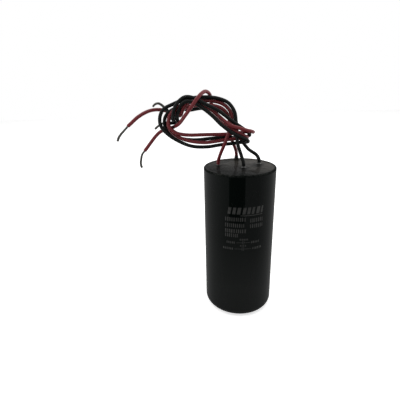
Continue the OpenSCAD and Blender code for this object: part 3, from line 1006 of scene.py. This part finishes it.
@dataclass
class Lead:
    """One flying lead: its insulated part and its stripped, tinned end. Sizes are in metres."""

    name: str
    colour: LeadColour
    route: Route
    bare: Route
    rise: float
    potted_node: str
    lead_node: str
    end_node: str
    # How far the strands spread at the start and the end of the bare end.
    fray: Span = (1.12, 1.45)
    diameter: float = 0.0024
    sides: int = 20
    # How uneven the insulation's radius is, and the step in its noise from ring to ring.
    unevenness: float = 0.012
    uneven_step: float = 0.11
    # Share of the radius and push past the end, for each ring of the rounded cut end.
    cut_rings: Tuple[Span, ...] = ((0.95, 0.00012), (0.82, 0.00018), (0.45, 0.00015))
    cut_wobble: float = 0.02
    conductor: float = 0.0012
    strands: int = 7
    strand_sides: int = 42
    strand_steps: int = 20
    # Length of one twist, and the depth and shape of the grooves that solder fills unevenly.
    lay: float = 0.011
    groove_least: float = 0.10
    groove_more: float = 0.16
    groove_power: float = 1.5
    solder_cells: float = 500.0
    # Length over which the tip rounds off, and the least share of its radius, squared.
    tip: float = 0.0004
    tip_least: float = 0.2
    pieces: List[Piece] = field(default_factory=list)

    def exit_point(self) -> Vector:
        """Finds where the lead's potted run comes out at the rim's plane.

        Returns:
            The point on the run's axis.
        """
        low, high = (Vector(corner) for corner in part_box(self.potted_node))
        return Vector(((low.x + high.x) / 2, (low.y + high.y) / 2, high.z))

    def line(self) -> List[Vector]:
        """Samples the insulated part's centre line.

        Returns:
            Points from the exit to the end of the insulation.
        """
        start = self.exit_point()
        above = start + Vector((0.0, 0.0, self.rise))
        return SweptLine((start, above, *(Vector(p) for p in self.route))).centres()

    def build_insulation(self, material: Material) -> Piece:
        """Sweeps the round insulation along its line, with a slightly rounded cut end.

        Args:
            material: the insulation's material.

        Returns:
            The insulation.
        """
        line = self.line()
        frames = SweptLine.frames(line)
        points: List[Vector] = []
        radius = self.diameter / 2
        phase = random.Random(self.name).uniform(0.0, 10.0)
        for i, (centre, (_, side, across)) in enumerate(zip(line, frames)):
            wave = noise.noise(Vector((i * self.uneven_step + phase, 0.0, 0.0)))
            r = radius * (1.0 + self.unevenness * wave)
            for a in MeshTools.angles(self.sides):
                points.append(SweptLine.ring_point(centre, side, across, a, r))
        along, side, across = frames[-1]
        for share, push in self.cut_rings:
            for a in MeshTools.angles(self.sides):
                r = radius * share * (1.0 + self.cut_wobble * math.sin(3 * a + phase))
                points.append(SweptLine.ring_point(line[-1] + push * along, side, across, a, r))
        faces = MeshTools.tube(len(line) + len(self.cut_rings), self.sides)
        thing = MeshTools.build(self.name + "_insulation", points, faces, material)
        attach(thing, ROOT)
        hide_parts(self.lead_node)
        self.pieces.append(thing)
        return thing

    def build_strands(self, material: Material) -> Piece:
        """Sweeps the twisted, solder-filled strands of the bare end.

        Args:
            material: the tinned copper's material.

        Returns:
            The bare end.
        """
        line = SweptLine(tuple(Vector(p) for p in self.bare), self.strand_steps).centres()
        points: List[Vector] = []
        run = 0.0
        total = SweptLine.length(line)
        outer = self.strands - 1
        for i, (centre, (_, side, across)) in enumerate(zip(line, SweptLine.frames(line))):
            run += (line[i] - line[i - 1]).length if i else 0.0
            left = total - run
            close = math.sqrt(max(self.tip_least, left / self.tip)) if left < self.tip else 1.0
            twist = 2 * math.pi * run / self.lay
            spread = self.fray[0] + (self.fray[1] - self.fray[0]) * run / total
            solder = noise.noise(Vector((run * self.solder_cells, float(len(self.name)), 0.0)))
            deep = self.groove_least + self.groove_more * (0.5 - 0.5 * solder)
            for a in MeshTools.angles(self.strand_sides):
                groove = (1 - abs(math.sin(outer * (a - twist) / 2))) ** self.groove_power
                r = self.conductor / 2 * close * spread * (1.0 - deep * groove)
                points.append(SweptLine.ring_point(centre, side, across, a, r))
        faces = MeshTools.tube(len(line), self.strand_sides)
        thing = MeshTools.build(self.name + "_strands", points, faces, material)
        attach(thing, ROOT)
        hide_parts(self.end_node)
        self.pieces.append(thing)
        return thing

    def declare(self) -> None:
        line = self.line()
        length = SweptLine.length(line)
        LOG.info("%s: %.1f mm of lead, %s", self.name, length / MM, self.colour.value)


@dataclass
class LeadBundle:
    """The four leads, two red and two black."""

    red: InsulationFinish = InsulationFinish(
        "red_insulation", (0.142, 0.0155, 0.0195, 1.0), specular=0.08, coat=0.29,
        coat_roughness=0.25, rubbed=(0.34, 0.16, 0.15, 1.0))
    black: InsulationFinish = InsulationFinish(
        "black_insulation", (0.0060, 0.0070, 0.0067, 1.0), specular=0.03, coat=0.115,
        coat_roughness=0.2, rubbed=(0.1, 0.1, 0.1, 1.0))
    tinned: MetalFinish = MetalFinish(
        "tinned_strands", (0.085, 0.082, 0.072, 1.0), specular=0.1, coat=0.2, coat_roughness=0.3,
        dark=(0.034, 0.033, 0.029, 1.0), cells=1800.0, depth=0.00003)

    def leads(self) -> List[Lead]:
        """Lists the four leads.

        Returns:
            The leads, not yet built.
        """
        return [
            Lead("red_1", LeadColour.RED, RED_1_ROUTE, RED_1_BARE, 0.003,
                 "potted_red_1", "red_lead_1", "tinned_end_red_1"),
            Lead("red_2", LeadColour.RED, RED_2_ROUTE, RED_2_BARE, 0.0025,
                 "potted_red_2", "red_lead_2", "tinned_end_red_2", (1.2, 1.5)),
            Lead("black_1", LeadColour.BLACK, BLACK_1_ROUTE, BLACK_1_BARE, 0.003,
                 "potted_black_1", "black_lead_1", "tinned_end_black_1", (1.25, 1.25)),
            Lead("black_2", LeadColour.BLACK, BLACK_2_ROUTE, BLACK_2_BARE, 0.0025,
                 "potted_black_2", "black_lead_2", "tinned_end_black_2", (1.55, 1.15)),
        ]

    def build(self) -> List[Lead]:
        """Builds, dresses and declares every lead.

        Returns:
            The leads.
        """
        skins = {LeadColour.RED: self.red.material(), LeadColour.BLACK: self.black.material()}
        tinned = self.tinned.material()
        made = self.leads()
        for lead in made:
            lead.build_insulation(skins[lead.colour])
            lead.build_strands(tinned)
            lead.declare()
            dress_node(lead.potted_node, skins[lead.colour])
        return made


@dataclass
class ResinTop:
    """The cast resin's free surface: a thin wavy skin on the solid, with collars on the leads.

    Sizes are in metres, and the cells of the waves are to a metre.
    """

    level: float = RESIN_LEVEL
    bore: float = 0.0232
    under: float = 0.0003
    fillet: float = 0.0005
    around: int = 480
    rings: int = 110
    lift: float = 0.00016
    crown: float = 0.00010
    # Height, cells and seed of each of the two waves.
    waves: Tuple[Point, ...] = ((0.00016, 150.0, 3.0), (0.4 * 0.00016, 420.0, 9.0))
    # The skin's least height over the solid resin, its waves' least height over that, and how
    # far from the wall the waves ease out.
    clear: float = 0.00003
    least: float = 0.00002
    ease: float = 0.0015
    # Heights that the resin climbs at the wall and at the leads, and how fast each falls off.
    wall_climb: float = 0.0004
    wall_reach: float = 0.0004
    lead_climb: float = 0.0006
    lead_reach: float = 0.00055
    lead_radius: float = 0.0012
    # Heights of the four collars, and their other sizes.
    collars: Tuple[float, ...] = (0.0011, 0.0036, 0.0016, 0.0018)
    collar_sides: int = 48
    collar_rings: int = 14
    collar_wall: float = 0.00012
    collar_sunk: float = 0.0001
    flare: float = 0.0009
    flare_power: float = 2.2
    lump_turn: float = 1.3
    lump_seed: float = 7.0
    lump_up: float = 0.35
    lump_out: float = 0.3
    finish: PottingResinFinish = PottingResinFinish(
        "potting_resin", (0.0042, 0.0046, 0.0044, 1.0), specular=0.02, coat=0.10,
        coat_roughness=0.1)

    def round_in(self, gap: float) -> float:
        """Works out how high the solid resin's small hollow fillet stands beside a wall.

        Args:
            gap: distance from the wall.

        Returns:
            The fillet's height above the level, in metres.
        """
        if gap >= self.fillet:
            return 0.0
        return self.fillet - math.sqrt(self.fillet ** 2 - (self.fillet - max(gap, 0.0)) ** 2)

    def height(self, x: float, y: float, exits: Sequence[Vector]) -> float:
        """Works out the skin's height at a place, always a little above the solid resin.

        Args:
            x: place across the can.
            y: place along its depth.
            exits: where the leads come out.

        Returns:
            The height in metres.
        """
        share = math.hypot(x, y) / self.bore
        gap = self.bore * (1.0 - share)
        swell = self.lift + self.crown * (1.0 - share ** 2)
        for high, cells, seed in self.waves:
            swell += high * noise.noise(Vector((x * cells, y * cells, seed)))
        z = self.level + self.clear + max(swell, self.least) * min(1.0, gap / self.ease)
        z += max(self.round_in(gap), self.wall_climb * math.exp(-gap / self.wall_reach))
        for exit_at in exits:
            away = max(0.0, math.hypot(x - exit_at.x, y - exit_at.y) - self.lead_radius)
            z += max(self.round_in(away), self.lead_climb * math.exp(-away / self.lead_reach))
        return z

    def build(self, exits: Sequence[Vector]) -> Piece:
        """Builds the skin as one closed sheet, dresses the solid under it and adds the collars.

        Args:
            exits: where the leads come out.

        Returns:
            The skin.
        """
        points: List[Point] = [(0.0, 0.0, self.height(0.0, 0.0, exits))]
        turns = [(math.cos(a), math.sin(a)) for a in MeshTools.angles(self.around)]
        for i in range(1, self.rings + 1):
            r = self.bore * i / self.rings
            points.extend((r * c, r * s, self.height(r * c, r * s, exits)) for c, s in turns)
        points.extend((self.bore * c, self.bore * s, self.level - self.under) for c, s in turns)
        faces: List[Face] = [(0, 1 + k, 1 + (k + 1) % self.around) for k in range(self.around)]
        faces.extend(MeshTools.bands(self.rings + 1, self.around, 1, inward=True))
        faces.append(tuple(reversed(range(len(points) - self.around, len(points)))))
        skin = replace(self.finish, exits=tuple(tuple(e) for e in exits)).material()
        thing = MeshTools.build("resin_surface", points, faces, skin)
        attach(thing, ROOT)
        dress_node("potting_resin", skin)
        LOG.info("resin_surface: %d faces", len(faces))
        for number, (exit_at, tall) in enumerate(zip(exits, self.collars)):
            self.build_collar(number, exit_at, tall, skin)
        return thing

    def build_collar(self, number: int, exit_at: Vector, tall: float, skin: Material) -> Piece:
        """Builds the resin that was drawn up round one lead, thick at its foot and thin at its top.

        Args:
            number: which lead it is on.
            exit_at: where the lead comes out.
            tall: its height above the resin.
            skin: the resin's material.

        Returns:
            The collar.
        """
        points: List[Point] = []
        for i in range(self.collar_rings + 1):
            t = i / self.collar_rings
            for a in MeshTools.angles(self.collar_sides):
                c, s = math.cos(a), math.sin(a)
                lump = noise.noise(Vector((c * self.lump_turn, s * self.lump_turn,
                                           self.lump_seed * number)))
                up = tall * (1.0 - t) * (1.0 + self.lump_up * lump * (1.0 - t))
                thick = self.collar_wall + self.flare * t ** self.flare_power
                r = self.lead_radius + self.clear + thick * (1.0 + self.lump_out * lump)
                points.append((exit_at.x + r * c, exit_at.y + r * s,
                               self.level - self.collar_sunk * t + up))
        faces = MeshTools.tube(self.collar_rings + 1, self.collar_sides, inward=True)
        collar = MeshTools.build("resin_collar_%d" % number, points, faces, skin)
        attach(collar, ROOT)
        return collar


@dataclass
class PrintedBlock:
    """Plain printed block on the can's wall: rows of short blocks and two wiring symbols.

    Places on the wall are angles in degrees, from the front towards +X, and heights in
    millimetres. A row is its left, right, foot and top, its blocks' usual width and gap, and the
    seed of their own widths.
    """

    radius: float = 0.02502
    sunk: float = 0.02494
    step: float = 2.0
    heading: Tuple[float, ...] = (-25.0, 30.0, 82.0, 86.7, 4.6, 2.6, 10)
    heading_lean: float = 1.8
    rule: Tuple[float, ...] = (-5.0, 30.0, 80.8, 81.3)
    rows: Tuple[Tuple[float, ...], ...] = (
        (-28.5, 3.5, 76.9, 79.7, 1.7, 1.5, 11), (10.0, 31.0, 76.0, 78.8, 1.7, 1.5, 12),
        (-28.5, 3.5, 72.6, 75.4, 1.7, 1.5, 13), (10.0, 31.0, 71.9, 74.7, 1.7, 1.5, 14),
        (-28.5, 5.0, 68.6, 71.3, 1.7, 1.5, 15), (-28.5, -7.0, 65.4, 68.0, 1.7, 1.5, 16))
    # The small row over each wiring symbol, and each symbol's left, right and middle height.
    labels: Tuple[Tuple[float, ...], ...] = (
        (-5.5, 8.0, 63.1, 64.4, 1.5, 1.2, 17), (-5.0, 6.0, 58.5, 59.7, 1.5, 1.2, 18))
    symbols: Tuple[Point, ...] = ((-26.0, 26.0, 61.4), (-32.0, 31.0, 56.7))
    # Where a symbol's rows of blocks end and start, as shares of its width, and half their height.
    symbol_rows: Span = (0.26, 0.74)
    symbol_row_half: float = 0.8
    symbol_block: Span = (1.6, 1.2)
    # Its wires and plates, as shares of its width, with half the height of each.
    symbol_lines: Tuple[Point, ...] = (
        (0.29, 0.475, 0.14), (0.475, 0.487, 1.3), (0.513, 0.525, 1.3), (0.525, 0.71, 0.14))
    # A row ends where less than this share of a block is left, and how much widths and gaps vary.
    least_share: float = 0.6
    width_varies: Span = (0.75, 1.2)
    gap_varies: Span = (0.8, 1.3)
    ink: PrintFinish = PrintFinish(
        "print_ink", (0.040, 0.040, 0.038, 1.0), specular=0.1, coat=0.08, coat_roughness=0.2)
    points: List[Point] = field(default_factory=list)
    faces: List[Face] = field(default_factory=list)

    def patch(self, left: float, right: float, low: float, high: float, lean: float = 0.0) -> None:
        """Adds one thin curved slab of ink, its back just inside the wall.

        Args:
            left: angle of its left side.
            right: angle of its right side.
            low: height of its lower side.
            high: height of its upper side.
            lean: how far its top stands to the right of its foot, in degrees.
        """
        parts = max(1, math.ceil((right - left) / self.step))
        first = len(self.points)
        for i in range(parts + 1):
            for radius in (self.radius, self.sunk):
                for z, shift in ((low, 0.0), (high, lean)):
                    a = math.radians(left + (right - left) * i / parts + shift)
                    self.points.append((radius * math.sin(a), -radius * math.cos(a), z * MM))
        end = first + 4 * parts
        for a in range(first, end, 4):
            for p, q in ((0, 1), (1, 3), (3, 2), (2, 0)):
                self.faces.append((a + p, a + 4 + p, a + 4 + q, a + q))
        self.faces.append((first, first + 1, first + 3, first + 2))
        self.faces.append((end, end + 2, end + 3, end + 1))

    def blocks(self, left: float, right: float, low: float, high: float, wide: float, gap: float,
               seed: int, lean: float = 0.0) -> None:
        """Adds a row of plain short upright blocks of uneven width.

        Args:
            left: angle where the row starts.
            right: angle where it ends.
            low: height of its foot.
            high: height of its top.
            wide: usual width of a block in degrees.
            gap: usual gap between blocks.
            seed: seed of the row's own widths.
            lean: how far each block leans, in degrees.
        """
        rng = random.Random(seed)
        at = left
        while at + wide * self.least_share < right:
            end = min(right, at + wide * rng.uniform(*self.width_varies))
            self.patch(at, end, low, high, lean)
            at = end + gap * rng.uniform(*self.gap_varies)

    def wiring(self, left: float, right: float, z: float) -> None:
        """Adds one plain wiring symbol: wire, two plates and wire, with a short row at each end.

        Args:
            left: angle where it starts.
            right: angle where it ends.
            z: height of its middle.
        """
        span = right - left
        low, high = z - self.symbol_row_half, z + self.symbol_row_half
        until, onwards = self.symbol_rows
        self.blocks(left, left + until * span, low, high, *self.symbol_block, int(z))
        for start, end, half in self.symbol_lines:
            self.patch(left + start * span, left + end * span, z - half, z + half)
        self.blocks(left + onwards * span, right, low, high, *self.symbol_block, int(z) + 1)

    def build(self) -> Piece:
        """Builds the whole printed block.

        Returns:
            The ink.
        """
        self.blocks(*self.heading, self.heading_lean)
        self.patch(*self.rule)
        for row in self.rows:
            self.blocks(*row)
        for label, symbol in zip(self.labels, self.symbols):
            self.blocks(*label)
            self.wiring(*symbol)
        thing = MeshTools.build("printed_block", self.points, self.faces, self.ink.material(),
                                smooth=False)
        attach(thing, ROOT)
        LOG.info("printed_block: %d patches", len(self.faces))
        return thing


@dataclass
class Can:
    """The moulded can with its printed block."""

    plastic: MouldedCanFinish = MouldedCanFinish(
        "moulded_black", CAN_BLACK, specular=0.0, coat=0.145, coat_roughness=0.07)
    block: PrintedBlock = field(default_factory=PrintedBlock)

    def dress(self) -> None:
        """Dresses the can and builds what is printed on it."""
        dress_node("case", self.plastic.material())
        self.block.build()


@dataclass
class WoundElements:
    """The two wound elements with their cores, sprayed ends, divider and solder joints."""

    film: RolledFilmFinish = RolledFilmFinish(
        "rolled_film", (0.62, 0.60, 0.50, 1.0), roughness=0.25, coat=0.3)
    core: FibreFinish = FibreFinish(
        "core_tube", (0.78, 0.78, 0.72, 1.0), fleck=(0.66, 0.66, 0.6, 1.0), cells=500.0)
    spray: MetalFinish = MetalFinish(
        "sprayed_zinc", (0.42, 0.42, 0.44, 1.0), roughness=0.65, metallic=0.7, cells=1600.0,
        depth=0.0001)
    board: FibreFinish = FibreFinish("pressboard", (0.50, 0.36, 0.16, 1.0), roughness=0.8)
    solder: MetalFinish = MetalFinish(
        "soft_solder", (0.5, 0.5, 0.52, 1.0), roughness=0.3, metallic=0.9, cells=500.0,
        depth=0.00004)

    def dress(self) -> None:
        """Dresses every solid inside the can."""
        parts = {
            self.film: ("main_winding", "aux_winding"),
            self.core: ("main_core", "aux_core"),
            self.spray: ("main_lower_spray", "main_upper_spray",
                         "aux_lower_spray", "aux_upper_spray"),
            self.board: ("section_divider",),
            self.solder: ("solder_joint_red_1", "solder_joint_red_2",
                          "solder_joint_black_1", "solder_joint_black_2"),
        }
        for finish, nodes in parts.items():
            material = finish.material()
            for node in nodes:
                dress_node(node, material)


@dataclass
class ViewCamera:
    """The camera, low in front of the can and a little to its left. Angles are in radians."""

    place: Point = (-0.0282, -0.21457, 0.16339)
    pitch: float = 0.356
    roll: float = 0.028
    lens: float = 28.62
    sensor: float = 36.0
    sees: Span = (0.01, 50.0)

    def build(self) -> Piece:
        """Makes the camera the scene's own.

        Returns:
            The camera.
        """
        data = bpy.data.cameras.new("view_camera")
        data.lens = self.lens
        data.sensor_width = self.sensor
        data.clip_start, data.clip_end = self.sees
        along = Vector((0.0, math.cos(self.pitch), -math.sin(self.pitch)))
        right = Vector((1.0, 0.0, 0.0))
        down = Vector((0.0, -math.sin(self.pitch), -math.cos(self.pitch)))
        c, s = math.cos(self.roll), math.sin(self.roll)
        x, y, z = c * right + s * down, s * right - c * down, -along
        camera = bpy.data.objects.new("view_camera", data)
        turn = Matrix((x, y, z)).transposed().to_4x4()
        camera.matrix_world = Matrix.Translation(Vector(self.place)) @ turn
        bpy.context.scene.collection.objects.link(camera)
        bpy.context.scene.camera = camera
        return camera


@dataclass(frozen=True)
class Softbox:
    """One soft studio lamp."""

    name: str
    place: Point
    aim: Point
    width: float
    depth: float
    power: float

    def build(self) -> Piece:
        """Makes the lamp and points it.

        Returns:
            The lamp.
        """
        data = bpy.data.lights.new(self.name, "AREA")
        data.shape = "RECTANGLE"
        data.size, data.size_y = self.width, self.depth
        data.energy = self.power
        lamp = bpy.data.objects.new(self.name, data)
        lamp.location = self.place
        way = Vector(self.aim) - Vector(self.place)
        lamp.rotation_mode = "QUATERNION"
        lamp.rotation_quaternion = way.to_track_quat("-Z", "Y")
        bpy.context.scene.collection.objects.link(lamp)
        return lamp


@dataclass
class Studio:
    """Pale floor, dark cloth, soft lamps and an even surround."""

    floor_half: float = 1.5
    floor_z: float = -0.0002
    floor: FloorFinish = FloorFinish(
        "pale_floor", (0.80, 0.80, 0.80, 1.0), roughness=0.9, specular=0.1)
    cloth: ClothFinish = ClothFinish(
        "dark_cloth", (0.002, 0.002, 0.002, 1.0), roughness=1.0, specular=0.0)
    cloth_place: Point = (-0.0017, -0.0137, 0.0004)
    cloth_radii: Span = (0.05, 0.80)
    # Angles where the cloth starts and ends, in degrees from the front towards +X.
    cloth_turn: Span = (-130.0, 110.0)
    cloth_steps: int = 72
    cloth_rings: int = 12
    ambient: float = 0.35
    white: Colour = (1.0, 1.0, 1.0, 1.0)
    lamps: Tuple[Softbox, ...] = (
        Softbox("left_softbox", (-0.85, -0.10, 0.45), (0.0, 0.0, 0.08), 0.9, 1.0, 5.5),
        Softbox("right_softbox", (0.85, 0.10, 0.40), (0.0, 0.0, 0.08), 0.9, 1.0, 4.5),
        Softbox("top_softbox", (0.0, 0.25, 1.05), (0.0, 0.0, 0.10), 1.4, 1.4, 9.0),
    )

    def build_cloth(self) -> Piece:
        """Lays a soft-edged dark cloth on the floor in front, which only gloss reflects.

        Returns:
            The cloth.
        """
        points: List[Point] = []
        faces: List[Face] = []
        (near, far), (start, end) = self.cloth_radii, self.cloth_turn
        for i in range(self.cloth_rings + 1):
            r = near + (far - near) * i / self.cloth_rings
            for k in range(self.cloth_steps + 1):
                a = math.radians(start + (end - start) * k / self.cloth_steps)
                points.append((r * math.sin(a), -r * math.cos(a), 0.0))
        row = self.cloth_steps + 1
        for i in range(self.cloth_rings):
            for a in range(i * row, i * row + self.cloth_steps):
                faces.append((a, a + 1, a + row + 1, a + row))
        cloth = MeshTools.build("dark_cloth", points, faces, self.cloth.material(), smooth=False)
        cloth.location = self.cloth_place
        for rays in ("visible_camera", "visible_diffuse", "visible_transmission", "visible_shadow",
                     "visible_volume_scatter"):
            setattr(cloth, rays, False)
        return cloth

    def build_floor(self) -> Piece:
        """Makes the floor.

        Returns:
            The floor.
        """
        half, z = self.floor_half, self.floor_z
        points = [(-half, -half, z), (half, -half, z), (half, half, z), (-half, half, z)]
        floor = MeshTools.build("floor", points, [(0, 1, 2, 3)], self.floor.material(),
                                smooth=False)
        return floor

    def build_world(self) -> None:
        """Makes the surround: white where it is seen, softer where it lights."""
        world = bpy.data.worlds.new("surround")
        bpy.context.scene.world = world
        world.use_nodes = True
        world.node_tree.nodes.clear()
        wire = Wire(world.node_tree)
        lit, white = (wire.add("ShaderNodeBackground", Color=self.white, Strength=strength)
                      for strength in (self.ambient, 1.0))
        out = wire.add("ShaderNodeOutputWorld").inputs["Surface"]
        wire.join(wire.pick(wire.seen(), lit.outputs[0], white.outputs[0]), out)

    def build(self) -> None:
        """Builds the whole studio."""
        self.build_floor()
        self.build_cloth()
        self.build_world()
        for lamp in self.lamps:
            lamp.build()
        LOG.info("studio: %d lamps", len(self.lamps))


def main() -> None:
    """Builds the scene, camera and leads first."""
    bpy.context.scene.view_settings.view_transform = "Standard"
    ViewCamera().build()
    leads = LeadBundle().build()
    Can().dress()
    ResinTop().build([lead.exit_point() for lead in leads])
    WoundElements().dress()
    Studio().build()


if __name__ == "__main__":
    main()
